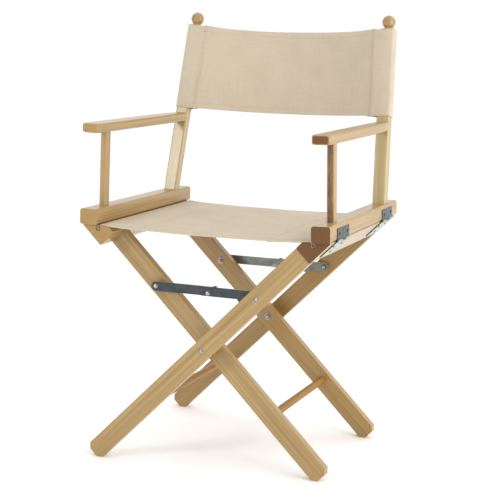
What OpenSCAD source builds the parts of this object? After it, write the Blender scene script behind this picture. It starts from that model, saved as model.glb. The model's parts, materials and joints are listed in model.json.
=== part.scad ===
// Folding director's chair: two crossed wooden leg frames, two arm assemblies hinged to the
// seat rails, folding steel braces between the legs, and a canvas seat and back.
// X is to the sitter's left, -Y is the front and Z is up. The origin is on the floor,
// under the middle of the chair.

/* [Chair] */
// Width across the arm rails
chair_w = 504; // [480:1:560]
// Depth of the arm rails, front to back
chair_d = 424; // [400:1:460]
// Height of the top of the seat rails
seat_z = 461; // [440:1:480]
// Angle of the legs from upright, with the chair open
leg_angle = 45; // [43:0.5:46]
// Lean of each arm assembly towards the middle of the chair
arm_lean = 1.5; // [0:0.1:2]

/* [Legs] */
// Width of a leg, seen from the front
leg_w = 38; // [34:1:42]
// Thickness of a leg, front to back
leg_t = 18; // [16:1:20]
// Clear gap between an outer leg and an inner leg
frame_gap = 26; // [24:1:30]
// How far the seat rail reaches in front of the outer legs
rail_over = 2; // [1:0.5:6]
// Length of the seat rails
rail_len = 408; // [390:1:420]
// Distance along a leg from its pivot to the seat rail
rail_u = 280; // [270:1:284]
// Width of the flat cut on each corner of a foot
foot_cut = 9; // [6:0.5:12]
// Distance down a leg from its pivot to the stretcher
stretcher_u = 175; // [165:1:185]
// Diameter of the round stretchers
stretcher_d = 15; // [12:0.5:18]

/* [Arms] */
// Width of the arm rail and of the armrest
arm_w = 36; // [34:1:40]
// Height of the arm rail
arm_rail_h = 30; // [26:1:34]
// Thickness of the armrest
armrest_t = 18; // [16:1:22]
// Height of the underside of the armrest
armrest_z = 636; // [620:1:660]
// Distance from the chair's middle back to where the armrest starts to narrow
armrest_taper_y = 38; // [20:1:60]
// Width of the square front post
post_w = 16; // [14:1:20]
// Distance from the chair's middle forward to the front post
post_y = 150; // [130:1:160]
// Width of the back post
back_post_w = 27; // [24:1:30]
// Depth of the back post
back_post_d = 21; // [18:1:24]
// Lean of the back posts towards the rear
back_lean = 13; // [8:0.5:16]
// Distance from the chair's middle back to the foot of the back post
back_post_y = 154; // [148:1:158]
// Length of the back post above the arm rail
back_post_len = 356; // [330:1:380]
// Diameter of the ball on top of the back post
ball_d = 27; // [22:1:32]

/* [Hardware] */
// Length of a hinge
hinge_len = 66; // [50:1:70]
// Distance of each hinge from the chair's middle
hinge_y = 140; // [130:1:142]
// Height of the hinge leaf on the arm rail
hinge_up = 23; // [18:1:25]
// Height of the hinge leaf on the seat rail
hinge_down = 46; // [36:1:50]
// Distance along a leg from its pivot to the brace
brace_u = 155.5; // [140:0.5:160]
// Height of a brace link
link_h = 18; // [14:1:20]
// Thickness of a brace link
link_t = 2.5; // [2:0.5:3]
// Diameter of the bolts at the leg pivots
pivot_d = 8; // [6:0.5:10]
// Diameter of the bolts at the brace ends
bolt_d = 6; // [5:0.5:7]

/* [Canvas] */
// Thickness of the canvas
canvas_t = 1.6; // [1:0.1:2]
// Distance up the back post to the lower edge of the back canvas
back_from = 176; // [160:1:190]
// Height of the back canvas
back_h = 178; // [160:1:178]
// How far the back canvas bows to the rear
back_bow = 24; // [10:1:35]
// How far forward of the back posts' middle the back canvas meets its sleeves
seam_forward = 8; // [0:1:8]
// Diameter of the rod in each hem of the seat
rod_d = 5; // [4:0.5:6]

/* [Hidden] */

beech = [0.78, 0.66, 0.46];
dowel_beech = [0.72, 0.52, 0.28];
canvas_colour = [0.85, 0.80, 0.70];
steel = [0.52, 0.55, 0.54];
zinc = [0.66, 0.70, 0.68];

eps = 0.01;
edge_r = 2;
rail_edge_r = 4;
arm_edge_r = 5;
post_edge_r = 3;
run_gap = 0.05; // radial clearance of a turning pin
side_gap = 0.3; // clearance beside a moving part
tip_cut = 3; // flat on the sharp outer edge of the seat rail

// the legs cross at the height that puts the seat rail's edge under the arm rail's edge
pivot_z = seat_z - (chair_w / 2 - leg_w / 2 / cos(leg_angle)) / tan(leg_angle);
outer_y = rail_len / 2 - rail_over - leg_t / 2;
inner_y = outer_y - leg_t - frame_gap;
foot_u = (pivot_z - (leg_w / 2 - foot_cut) * sin(leg_angle)) / cos(leg_angle);
rail_tip_u = (seat_z - pivot_z + leg_w / 2 * sin(leg_angle)) / cos(leg_angle);
tenon_len = 22;
tenon_w = 26;
tenon_t = 8;
socket_depth = 12;

// the hinge pins lie just outside the corner between arm rail and seat rail
hinge_out = 1.6;
knuckle_r = 2.4;
pin_r = 1.4;
leaf_t = 1.6;
pin_x = chair_w / 2 + hinge_out * cos(leg_angle / 2);
pin_z = seat_z - hinge_out * sin(leg_angle / 2);

arm_gap = 0.5;
arm_z = seat_z + arm_gap;
rail_top_z = arm_z + arm_rail_h;
arm_x = chair_w / 2 - arm_w / 2;
back_post_x = chair_w / 2 - 5 - back_post_w / 2;
back_in = 1.5; // lean of the back post towards the middle, on top of the arm's own
peg_d = 11;
peg_len = 12;

// the canvas hem and its rod lie in a keyhole groove near the inner edge of the seat rail
groove_x = chair_w / 2 - 35;
groove_z = seat_z - 7.5;
groove_r = 5;
groove_angle = 120;

// brace links: bar, rivet and the planes they move in, measured back from the outer leg
brace_x = brace_u * sin(leg_angle);
brace_z = pivot_z + brace_u * cos(leg_angle);
rivet_drop = 4; // the rivet sits below the middle line of the bar
link_front = -outer_y + leg_t / 2 + 8; // front face of the link on the outer leg
link_back = link_front + link_t + 0.6; // front face of the link on the inner leg
inner_face = -inner_y - leg_t / 2;
stop_x = 11.5; // the stop starts this far past the rivet
stop_w = 7;

// the origin is under the middle of the whole chair, which reaches further back than forward
front_reach = chair_d / 2 + 2;
rear_reach = back_post_y + (back_from + back_h) * sin(back_lean)
    + (back_bow + canvas_t) * cos(back_lean);
middle_y = (rear_reach - front_reach) / 2;

// ---- placing

module centred() {
    translate([0, -middle_y, 0])
        children();
}

module sided(side) {
    if (side < 0)
        mirror([1, 0, 0]) children();
    else
        children();
}

module ended(rear) {
    if (rear)
        mirror([0, 1, 0]) children();
    else
        children();
}

// Local +Z runs up along the legs and local +X points to the outside of the frame
module on_frame(side) {
    sided(side)
        translate([0, 0, pivot_z])
            rotate([0, leg_angle, 0])
                children();
}

// Leans an arm assembly about its hinge pins
module on_arm(side) {
    sided(side)
        translate([pin_x, 0, pin_z])
            rotate([0, -arm_lean, 0])
                translate([-pin_x, 0, -pin_z])
                    children();
}

// Local +Z runs up the back post from the top of the arm rail
module on_back_post() {
    translate([back_post_x, back_post_y, rail_top_z])
        rotate([-back_lean, -back_in, 0])
            children();
}

// ---- stock shapes

module eased_rect(w, d, r) {
    square([w - 2 * r, d], center = true);
    square([w, d - 2 * r], center = true);
    for (x = [-1, 1], y = [-1, 1])
        translate([x * (w / 2 - r), y * (d / 2 - r)])
            circle(r = r, $fn = 32);
}

module eased_bar(w, d, len, r) {
    linear_extrude(height = len)
        eased_rect(w, d, r);
}

// Extrudes an outline drawn in X and Z from y0 towards the rear
module along_y(y0, len) {
    translate([0, y0 + len, 0])
        rotate([90, 0, 0])
            linear_extrude(height = len)
                children();
}

// Round bar along Y
module rod_y(r, y0, len) {
    translate([0, y0, 0])
        rotate([-90, 0, 0])
            cylinder(r = r, h = len, $fn = 48);
}

// Domed screw head that faces the front, with its flat on the plane y = 0
module dome_head(r, h) {
    ball = (r * r + h * h) / (2 * h);
    rotate([90, 0, 0])
        rotate_extrude($fn = 48)
            intersection() {
                translate([0, h - ball]) circle(r = ball, $fn = 96);
                square([r, h]);
            }
}

// ---- leg frames

module leg_outline() {
    rise = foot_cut * tan(leg_angle);
    half = leg_w / 2;
    polygon([
        [-half, rail_u], [-half, -foot_u + rise], [-half + foot_cut, -foot_u],
        [half - foot_cut, -foot_u], [half, -foot_u + rise], [half, rail_u]
    ]);
}

module tenon(y, grow = 0) {
    translate([-tenon_w / 2, y - tenon_t / 2, rail_u - grow])
        cube([tenon_w, tenon_t, tenon_len + grow]);
}

// inward is +1 where the stretcher's socket is on the leg's rear face, and -1 on its front face
module leg(side, y, pivot_r, inward) {
    color(beech)
        on_frame(side) {
            difference() {
                intersection() {
                    translate([0, y, -foot_u - 1])
                        eased_bar(leg_w, leg_t, foot_u + rail_u + 1, edge_r);
                    along_y(y - leg_t, 2 * leg_t)
                        leg_outline();
                }
                rod_y(pivot_r, y - leg_t, 2 * leg_t);
                translate([0, 0, brace_u])
                    rod_y(bolt_d / 2, y - leg_t, 2 * leg_t);
                translate([0, 0, -stretcher_u])
                    rod_y(stretcher_d / 2, y + inward * leg_t / 2 - socket_depth, 2 * socket_depth);
            }
            tenon(y);
        }
}

module outer_leg_front() { leg(1, -outer_y, pivot_d / 2, 1); }
module outer_leg_rear() { leg(1, outer_y, pivot_d / 2, -1); }
module inner_leg_front() { leg(-1, -inner_y, pivot_d / 2 + run_gap, 1); }
module inner_leg_rear() { leg(-1, inner_y, pivot_d / 2 + run_gap, -1); }

module stretcher(side, y) {
    reach = y - leg_t / 2 + socket_depth;
    color(dowel_beech)
        on_frame(side)
            translate([0, 0, -stretcher_u])
                rod_y(stretcher_d / 2, -reach, 2 * reach);
}

module outer_stretcher() { stretcher(1, outer_y); }
module inner_stretcher() { stretcher(-1, inner_y); }

module seat_rail_section() {
    stock = rail_tip_u - rail_u + 20;
    difference() {
        translate([0, rail_u + stock / 2])
            eased_rect(leg_w, stock, rail_edge_r);
        translate([leg_w / 2, rail_tip_u])
            rotate(leg_angle + arm_lean)
                translate([-100, 0])
                    square([200, 100]);
        translate([leg_w / 2, rail_tip_u])
            rotate(leg_angle)
                translate([-tip_cut, -50])
                    square(100);
    }
}

// The keyhole that the seat hem lies in, drawn in world X and Z
module groove_outline(grow = 0) {
    translate([groove_x, groove_z]) {
        circle(r = groove_r + grow, $fn = 48);
        rotate(groove_angle)
            translate([0, -1.6 - grow])
                square([26, 3.2 + 2 * grow]);
    }
}

module seat_rail(side, y) {
    color(beech)
        difference() {
            on_frame(side)
                difference() {
                    along_y(-rail_len / 2, rail_len)
                        seat_rail_section();
                    tenon(-y, eps);
                    tenon(y, eps);
                }
            sided(side)
                along_y(-rail_len, 2 * rail_len)
                    groove_outline();
        }
}

module seat_rail_right() { seat_rail(1, outer_y); }
module seat_rail_left() { seat_rail(-1, inner_y); }

// ---- bolts and spacers at the legs

module washer(r_out, r_in, y0, len) {
    difference() {
        rod_y(r_out, y0, len);
        rod_y(r_in, y0 - 1, len + 2);
    }
}

module cap_nut(r, y0) {
    translate([0, y0, 0])
        mirror([0, 1, 0]) {
            rotate([90, 30, 0]) cylinder(r = r, h = 3, $fn = 6);
            translate([0, -3, 0]) dome_head(r * 0.8, 2);
        }
}

module leg_pivot_bolts() {
    head_y = -outer_y - leg_t / 2;
    nut_y = -inner_y + leg_t / 2 + side_gap;
    color(zinc)
        for (rear = [false, true])
            ended(rear)
                translate([0, 0, pivot_z]) {
                    translate([0, head_y, 0]) dome_head(5, 2.2);
                    rod_y(pivot_d / 2, head_y, nut_y - head_y + 1);
                    washer(6.8, pivot_d / 2, nut_y, 1);
                    cap_nut(5.4, nut_y + 1);
                }
}

module leg_pivot_spacers() {
    color(steel)
        for (rear = [false, true])
            ended(rear)
                translate([0, 0, pivot_z])
                    washer(8, pivot_d / 2, -outer_y + leg_t / 2, frame_gap - side_gap);
}

module brace_bolt(head_y, nut_y) {
    translate([0, head_y, 0]) dome_head(4.8, 2.2);
    rod_y(bolt_d / 2, head_y, nut_y - head_y + 1);
    cap_nut(4.6, nut_y);
}

module outer_brace_bolts() {
    color(zinc)
        for (rear = [false, true])
            ended(rear)
                translate([brace_x, 0, brace_z])
                    brace_bolt(-outer_y - leg_t / 2, link_front + link_t + 0.2);
}

module inner_brace_bolts() {
    color(zinc)
        for (rear = [false, true])
            ended(rear)
                translate([-brace_x, 0, brace_z]) {
                    brace_bolt(link_back - 0.2, -inner_y + leg_t / 2 + 1);
                    washer(6, bolt_d / 2, -inner_y + leg_t / 2, 1);
                }
}

module outer_brace_bushes() {
    color(steel)
        for (rear = [false, true])
            ended(rear)
                translate([brace_x, 0, brace_z])
                    washer(6, bolt_d / 2, -outer_y + leg_t / 2, 8 - 0.2);
}

module inner_brace_bushes() {
    from = link_back + link_t + 0.2;
    color(steel)
        for (rear = [false, true])
            ended(rear)
                translate([-brace_x, 0, brace_z])
                    washer(6, bolt_d / 2, from, inner_face - from);
}

// ---- brace links, drawn about the rivet in X and Z

module link_bar(from, to) {
    translate([from, rivet_drop - link_h / 2])
        square([to - from, link_h]);
}

module link_eye(x) {
    translate([x, rivet_drop])
        circle(r = link_h / 2, $fn = 64);
}

// The link on the outer leg: its end is cut square, with a notched corner and a low lobe
module outer_link_outline() {
    difference() {
        union() {
            link_bar(-12, brace_x);
            link_eye(brace_x);
            translate([66, rivet_drop - link_h / 2]) circle(r = 5, $fn = 32);
            translate([66, rivet_drop - link_h / 2 - 5]) square([12, 12]);
        }
        translate([brace_x, rivet_drop]) circle(r = bolt_d / 2 + run_gap, $fn = 48);
        circle(r = 2.5, $fn = 32);
        translate([-12, rivet_drop + link_h / 2]) rotate(45) square(4, center = true);
    }
}

// The link on the inner leg runs on behind the other, to carry the stop
module inner_link_outline() {
    difference() {
        union() {
            link_bar(-brace_x, 16);
            link_eye(-brace_x);
            translate([16, rivet_drop]) circle(r = link_h / 2, $fn = 64);
        }
        translate([-brace_x, rivet_drop]) circle(r = bolt_d / 2 + run_gap, $fn = 48);
        circle(r = 2.5, $fn = 32);
    }
}

module on_rivet(rear) {
    ended(rear)
        translate([0, 0, brace_z - rivet_drop])
            children();
}

module link_outer(rear) {
    color(steel)
        on_rivet(rear)
            along_y(link_front, link_t)
                outer_link_outline();
}

// The stop is a tab bent forward over the top edge of the other link
module link_inner(rear) {
    color(steel)
        on_rivet(rear) {
            along_y(link_back, link_t)
                inner_link_outline();
            translate([stop_x, link_front - 0.5, rivet_drop + link_h / 2 + side_gap])
                cube([stop_w, link_back - link_front + link_t + 0.5, 2]);
            translate([stop_x, link_back, rivet_drop])
                cube([stop_w, link_t, link_h / 2 + 1]);
        }
}

module front_link_outer() { link_outer(false); }
module front_link_inner() { link_inner(false); }
module rear_link_outer() { link_outer(true); }
module rear_link_inner() { link_inner(true); }

// Half of the middle rivet: a head on the outer link, and a stub that stays inside the plate
module rivet_outer(rear) {
    color(zinc)
        on_rivet(rear) {
            translate([0, link_front, 0]) dome_head(4.5, 1.6);
            rod_y(2.5, link_front, link_t);
        }
}

module rivet_inner(rear) {
    color(zinc)
        on_rivet(rear) {
            rod_y(2.5, link_back, link_t);
            translate([0, link_back + link_t, 0])
                mirror([0, 1, 0])
                    dome_head(4.5, 1.6);
        }
}

module front_rivet_outer() { rivet_outer(false); }
module front_rivet_inner() { rivet_inner(false); }
module rear_rivet_outer() { rivet_outer(true); }
module rear_rivet_inner() { rivet_inner(true); }

// ---- hinges

third = hinge_len / 3;

module knuckle(y0, len, bore_r) {
    difference() {
        rod_y(knuckle_r, y0, len);
        rod_y(bore_r, y0 - 1, len + 2);
    }
}

module screw_holes(x, spots) {
    for (s = spots)
        translate([x, s[0], s[1]])
            rotate([0, 90, 0])
                cylinder(r = 1.6, h = 20, center = true, $fn = 32);
}

// Screw positions on each leaf: along the hinge, and away from the pin
upper_spots = [[-22, 13], [22, 13]];
lower_spots = [[-22, 16], [22, 16], [0, 36]];

// Leaf on a face whose outside is local +X, with local +Z away from the pin
module leaf(face_x, tall, spots) {
    difference() {
        translate([face_x, -hinge_len / 2, knuckle_r + 0.6])
            cube([leaf_t, hinge_len, tall - knuckle_r - 0.6]);
        screw_holes(face_x, spots);
    }
}

// Links a leaf to one of its knuckles
module strap(face_x, y0, len, bore_r) {
    difference() {
        translate([face_x, y0, 0])
            cube([leaf_t, len, knuckle_r + 1]);
        rod_y(bore_r, y0 - 1, len + 2);
    }
    knuckle(y0, len, bore_r);
}

pin_off = hinge_out * cos(leg_angle / 2); // distance of the pin from both wooden faces

module on_pin(side) {
    sided(side)
        for (y = [-hinge_y, hinge_y])
            translate([pin_x, y, pin_z])
                children();
}

module on_arm_pin(side) {
    on_arm(side)
        for (y = [-hinge_y, hinge_y])
            translate([pin_x, y, pin_z])
                children();
}

module upper_leaves(side) {
    color(steel)
        on_arm_pin(side) {
            leaf(-pin_off, hinge_up, upper_spots);
            strap(-pin_off, -third / 2 + 0.2, third - 0.4, pin_r + run_gap);
        }
}

// turns local +Z from straight up to down along the seat rail's outer face
module down_rail() {
    mirror([0, 0, 1])
        rotate([0, -leg_angle, 0])
            children();
}

module lower_leaves(side) {
    color(zinc)
        on_pin(side)
            down_rail() {
                leaf(-pin_off, hinge_down, lower_spots);
                strap(-pin_off, -hinge_len / 2, third - 0.1, pin_r);
                strap(-pin_off, third / 2 + 0.1, third - 0.1, pin_r);
            }
}

module pins(side) {
    color(steel)
        on_pin(side) {
            rod_y(pin_r, -hinge_len / 2, hinge_len);
            translate([0, -hinge_len / 2, 0]) dome_head(2.1, 1);
            translate([0, hinge_len / 2, 0]) mirror([0, 1, 0]) dome_head(2.1, 1);
        }
}

// Domed screws with a cross slot; each shank fills its hole in the hinge leaf
module screws(spots) {
    for (s = spots)
        translate([-pin_off + leaf_t, s[0], s[1]])
            rotate([0, 0, 90])
                difference() {
                    union() {
                        dome_head(3.1, 1.1);
                        rod_y(1.6, -eps, leaf_t + eps);
                    }
                    for (turn = [35, 125])
                        rotate([0, turn, 0])
                            translate([-2, -2, -0.3])
                                cube([4, 1.5, 0.6]);
                }
}

module upper_screws(side) {
    color(zinc)
        on_arm_pin(side)
            screws(upper_spots);
}

module lower_screws(side) {
    color(zinc)
        on_pin(side)
            down_rail()
                screws(lower_spots);
}

module lower_hinge_leaves_right() { lower_leaves(1); }
module lower_hinge_leaves_left() { lower_leaves(-1); }
module upper_hinge_leaves_right() { upper_leaves(1); }
module upper_hinge_leaves_left() { upper_leaves(-1); }
module hinge_pins_right() { pins(1); }
module hinge_pins_left() { pins(-1); }
module lower_hinge_screws_right() { lower_screws(1); }
module lower_hinge_screws_left() { lower_screws(-1); }
module upper_hinge_screws_right() { upper_screws(1); }
module upper_hinge_screws_left() { upper_screws(-1); }

// ---- arms

module back_tenon() {
    on_back_post()
        translate([0, 0, -16])
            eased_bar(back_post_w - 8, back_post_d - 7, 22, edge_r);
}

module arm_rail(side) {
    color(beech)
        on_arm(side)
            difference() {
                along_y(-chair_d / 2, chair_d)
                    translate([arm_x, arm_z + arm_rail_h / 2])
                        eased_rect(arm_w, arm_rail_h, arm_edge_r);
                translate([arm_x, -post_y, rail_top_z - peg_len])
                    cylinder(d = peg_d, h = peg_len + 1, $fn = 48);
                back_tenon();
            }
}

// Square post with chamfered edges, and a round peg at each end
module front_post(side) {
    half = post_w / 2;
    flat = half - 3.5;
    color(beech)
        on_arm(side)
            translate([arm_x, -post_y, rail_top_z]) {
                linear_extrude(height = armrest_z - rail_top_z)
                    polygon([
                        [-half, -flat], [-flat, -half], [flat, -half], [half, -flat],
                        [half, flat], [flat, half], [-flat, half], [-half, flat]
                    ]);
                translate([0, 0, -peg_len])
                    cylinder(d = peg_d, h = armrest_z - rail_top_z + 2 * peg_len, $fn = 48);
            }
}

// Plan of the armrest, straight inside and narrowing outside towards the back post
module armrest_plan(inset) {
    front = inset - front_reach;
    inner = arm_x - arm_w / 2 + inset;
    outer = arm_x + arm_w / 2 - inset;
    back = 200;
    narrow = arm_w - back_post_w + 3;
    corner = 7;
    translate([inner + corner, front + corner]) circle(r = corner, $fn = 32);
    translate([outer - corner, front + corner]) circle(r = corner, $fn = 32);
    polygon([
        for (k = [0 : 10])
            let (share = k / 10, bend = 1 - cos(share * 60))
            [outer - 2 * bend * narrow, armrest_taper_y + share * (back - armrest_taper_y)],
        [inner, back],
        [inner, front + corner],
        [outer, front + corner]
    ]);
}

// rounded edges: the plan is stacked at growing and shrinking insets
module armrest_body() {
    edge = 4;
    hull()
        for (turn = [0 : 18 : 90]) {
            inset = edge * (1 - sin(turn));
            rise = edge * (1 - cos(turn));
            for (z = [rise, armrest_t - rise - eps])
                translate([0, 0, armrest_z + z])
                    linear_extrude(height = eps)
                        armrest_plan(inset);
        }
}

module armrest(side) {
    color(beech)
        on_arm(side)
            difference() {
                armrest_body();
                on_back_post()
                    translate([-100, -back_post_d / 2, 0])
                        cube([200, 100, 300]);
                translate([arm_x, -post_y, armrest_z - 1])
                    cylinder(d = peg_d, h = peg_len + 1, $fn = 48);
            }
}

module back_post(side) {
    color(beech)
        on_arm(side) {
            difference() {
                on_back_post()
                    difference() {
                        translate([0, 0, -20])
                            eased_bar(back_post_w, back_post_d, back_post_len + 20, post_edge_r);
                        translate([0, 0, back_post_len - 14])
                            cylinder(d = 8, h = 15, $fn = 48);
                    }
                translate([back_post_x - 50, back_post_y - 50, rail_top_z - 60])
                    cube([100, 100, 60]);
            }
            intersection() {
                back_tenon();
                translate([back_post_x - 50, back_post_y - 50, rail_top_z - 60])
                    cube([100, 100, 60 + eps]);
            }
        }
}

// Ball on a short neck, with a peg into the post
module finial(side) {
    neck_r = back_post_d / 2 - 1;
    ball_z = ball_d / 2 + 1;
    color(beech)
        on_arm(side)
            on_back_post()
                translate([0, 0, back_post_len]) {
                    rotate_extrude($fn = 64)
                        intersection() {
                            union() {
                                translate([0, ball_z]) circle(d = ball_d, $fn = 96);
                                polygon([
                                    [0, 0], [neck_r, 0], [neck_r, 1.2],
                                    [neck_r - 1.6, 2.6], [neck_r - 1.6, 5], [0, 8]
                                ]);
                            }
                            square([ball_d, 2 * ball_d]);
                        }
                    translate([0, 0, -13])
                        cylinder(d = 8, h = 14, $fn = 48);
                }
}

module arm_rail_right() { arm_rail(1); }
module arm_rail_left() { arm_rail(-1); }
module front_post_right() { front_post(1); }
module front_post_left() { front_post(-1); }
module armrest_right() { armrest(1); }
module armrest_left() { armrest(-1); }
module back_post_right() { back_post(1); }
module back_post_left() { back_post(-1); }
module finial_right() { finial(1); }
module finial_left() { finial(-1); }

// ---- canvas and its rods

hem_len = rail_len - 4;

module seat_rod(side) {
    color(dowel_beech)
        sided(side)
            translate([groove_x, 0, groove_z])
                rod_y(rod_d / 2, -hem_len / 2, hem_len);
}

module seat_rod_right() { seat_rod(1); }
module seat_rod_left() { seat_rod(-1); }

// Half of the seat in X and Z: loop round the rod, tail out of the groove, flat panel
module seat_half_outline() {
    inner_r = rod_d / 2 + side_gap;
    outer_r = groove_r - side_gap;
    level = seat_z - 0.7;
    reach = (level - groove_z) / sin(180 - groove_angle);
    difference() {
        union() {
            translate([groove_x, groove_z]) {
                circle(r = outer_r, $fn = 48);
                rotate(groove_angle)
                    translate([0, -canvas_t / 2])
                        square([reach + 1, canvas_t]);
            }
            translate([-1, level])
                square([groove_x - reach * cos(180 - groove_angle) + 1, canvas_t]);
        }
        translate([groove_x, groove_z])
            circle(r = inner_r, $fn = 48);
    }
}

module seat_canvas() {
    color(canvas_colour)
        along_y(-hem_len / 2, hem_len) {
            seat_half_outline();
            mirror([1, 0]) seat_half_outline();
        }
}

module back_sleeve(side) {
    on_arm(side)
        on_back_post()
            translate([0, 0, back_from])
                linear_extrude(height = back_h)
                    difference() {
                        eased_rect(back_post_w + 4, back_post_d + 4, 3.5);
                        eased_rect(back_post_w + 2 * side_gap, back_post_d + 2 * side_gap, 3);
                    }
}

// The panel's plan is a shallow arc from seam to seam, cut to follow the leaning sleeves
module back_panel() {
    foot = back_post_x - back_post_w / 2 - 1 - (rail_top_z - pin_z) * sin(arm_lean);
    low_in = foot - back_from * sin(arm_lean + back_in);
    high_in = foot - (back_from + back_h) * sin(arm_lean + back_in);
    function bow(share) = back_bow - (back_bow + seam_forward) * share * share;
    steps = [-1 : 0.1 : 1];
    translate([0, back_post_y, rail_top_z])
        rotate([-back_lean, 0, 0])
            intersection() {
                translate([0, 0, back_from])
                    linear_extrude(height = back_h)
                        polygon(concat(
                            [for (s = steps) [s * low_in, bow(s)]],
                            [for (s = steps) [-s * low_in, bow(s) + canvas_t]]
                        ));
                along_y(-50, 150)
                    polygon([
                        [-low_in, back_from - 1], [low_in, back_from - 1],
                        [high_in, back_from + back_h + 1], [-high_in, back_from + back_h + 1]
                    ]);
            }
}

module back_canvas() {
    color(canvas_colour) {
        back_sleeve(1);
        back_sleeve(-1);
        back_panel();
    }
}

centred() outer_leg_front();
centred() outer_leg_rear();
centred() seat_rail_right();
centred() outer_stretcher();
centred() inner_leg_front();
centred() inner_leg_rear();
centred() seat_rail_left();
centred() inner_stretcher();
centred() leg_pivot_bolts();
centred() leg_pivot_spacers();
centred() outer_brace_bolts();
centred() inner_brace_bolts();
centred() outer_brace_bushes();
centred() inner_brace_bushes();
centred() front_link_outer();
centred() front_link_inner();
centred() rear_link_outer();
centred() rear_link_inner();
centred() front_rivet_outer();
centred() front_rivet_inner();
centred() rear_rivet_outer();
centred() rear_rivet_inner();
centred() lower_hinge_leaves_right();
centred() upper_hinge_leaves_right();
centred() hinge_pins_right();
centred() lower_hinge_screws_right();
centred() upper_hinge_screws_right();
centred() lower_hinge_leaves_left();
centred() upper_hinge_leaves_left();
centred() hinge_pins_left();
centred() lower_hinge_screws_left();
centred() upper_hinge_screws_left();
centred() arm_rail_right();
centred() front_post_right();
centred() armrest_right();
centred() back_post_right();
centred() finial_right();
centred() arm_rail_left();
centred() front_post_left();
centred() armrest_left();
centred() back_post_left();
centred() finial_left();
centred() seat_rod_right();
centred() seat_rod_left();
centred() seat_canvas();
centred() back_canvas();
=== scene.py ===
"""Canvas, wood, steel and studio for a folding director's chair."""

import json
from math import cos, degrees, pi, radians, sin

import bpy
import numpy as np
from bpy.props import FloatProperty, FloatVectorProperty, PointerProperty
from mathutils import Euler, Matrix, Vector


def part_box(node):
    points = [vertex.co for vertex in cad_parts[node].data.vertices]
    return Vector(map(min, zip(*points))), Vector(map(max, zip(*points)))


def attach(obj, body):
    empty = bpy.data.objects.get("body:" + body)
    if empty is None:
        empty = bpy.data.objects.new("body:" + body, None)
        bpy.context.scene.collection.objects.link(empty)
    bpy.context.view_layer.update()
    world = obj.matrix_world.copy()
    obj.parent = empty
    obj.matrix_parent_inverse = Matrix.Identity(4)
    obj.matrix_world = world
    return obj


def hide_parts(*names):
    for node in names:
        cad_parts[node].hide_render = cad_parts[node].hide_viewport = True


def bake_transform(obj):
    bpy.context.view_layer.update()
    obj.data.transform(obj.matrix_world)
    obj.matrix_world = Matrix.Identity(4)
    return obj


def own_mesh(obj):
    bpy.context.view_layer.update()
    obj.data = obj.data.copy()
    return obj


bl_info = {
    "name": "Folding director's chair",
    "version": (1, 0, 0),
    "blender": (4, 5, 0),
    "location": "View3D > Sidebar > Chair",
    "description": "Makes the canvas, wood and steel of a folding director's chair",
    "category": "Object",
}

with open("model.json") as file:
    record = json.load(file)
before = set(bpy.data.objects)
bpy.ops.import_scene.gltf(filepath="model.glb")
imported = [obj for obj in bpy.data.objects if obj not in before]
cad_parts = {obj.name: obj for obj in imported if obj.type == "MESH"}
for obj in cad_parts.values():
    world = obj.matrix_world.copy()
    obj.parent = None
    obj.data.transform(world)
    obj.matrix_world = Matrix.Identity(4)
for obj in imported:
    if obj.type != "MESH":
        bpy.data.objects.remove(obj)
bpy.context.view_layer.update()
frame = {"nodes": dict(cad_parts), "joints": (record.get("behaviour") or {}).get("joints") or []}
RIGHT, LEFT = 1, -1
SIDES = {RIGHT: "right", LEFT: "left"}


def length(name, text, default):
    return FloatProperty(name=name, description=text, default=default, min=0, unit="LENGTH")


def angle(name, text, turn):
    """The turn is given in degrees."""
    return FloatProperty(name=name, description=text, default=radians(turn), unit="ROTATION")


def colour(name, text, default):
    return FloatVectorProperty(
        name=name, description=text, default=default, size=3, min=0, max=1, subtype="COLOR"
    )


def amount(name, text, default):
    return FloatProperty(name=name, description=text, default=default, min=0)


class WoodLook(bpy.types.PropertyGroup):
    """Beech of the frame and the darker wood of the dowels."""

    light: colour("Light", "Early wood, the paler part of each ring", (0.44, 0.29, 0.1))
    dark: colour("Dark", "Late wood, the darker part of each ring", (0.27, 0.155, 0.043))
    fleck: colour("Fleck", "Short ray flecks along the grain", (0.27, 0.14, 0.05))
    end_light: colour("End light", "Pale rings on the cut ends of the right side", (0.19, 0.088, 0.029))
    end_dark: colour("End dark", "Dark rings on the cut ends of the right side", (0.08, 0.034, 0.012))
    pale_end_light: colour("Pale end light", "Pale rings on the other cut ends", (0.44, 0.29, 0.11))
    pale_end_dark: colour("Pale end dark", "Dark rings on the other cut ends", (0.27, 0.16, 0.055))
    heart_light: colour("Heart light", "Paler heartwood of the right front post", (0.27, 0.14, 0.055))
    heart_dark: colour("Heart dark", "Darker heartwood of the right front post", (0.1, 0.038, 0.01))
    # painted shade: the rear legs' deeper tone stands in for the shade under the chair
    rear_shaded_light: colour("Rear light", "Paler wood of the rear legs", (0.375, 0.23, 0.067))
    rear_shaded_dark: colour("Rear dark", "Darker wood of the rear legs", (0.245, 0.138, 0.033))
    # painted sheen: the back posts' paler, greyer tone stands in for the lacquer's wash of light on their
    # leaning faces
    post_sheen_light: colour("Post light", "Paler wood of the back posts", (0.51, 0.4, 0.19))
    post_sheen_dark: colour("Post dark", "Darker wood of the back posts", (0.35, 0.25, 0.1))
    dowel_light: colour("Dowel light", "Paler wood of the round stretchers", (0.35, 0.17, 0.018))
    dowel_dark: colour("Dowel dark", "Darker wood of the round stretchers", (0.2, 0.085, 0.006))
    lacquer: amount("Lacquer", "Share of clear lacquer on most pieces", 0.7)
    dowel_lacquer: amount("Dowel lacquer", "Share of clear lacquer on the stretchers", 0.1)
    ring: length("Ring", "Width of one year's growth", 0.0046)
    post_lean: angle("Post lean", "Lean of the back posts to the rear", 13)
    arm_lean: angle("Arm lean", "Lean of the arms towards the middle", 1.5)
    post_in: angle("Post inward lean", "Lean of a back post to the middle, on top of the arm's", 1.5)
    leg_angle: angle("Leg angle", "Angle of the legs from upright", 45)


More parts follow.
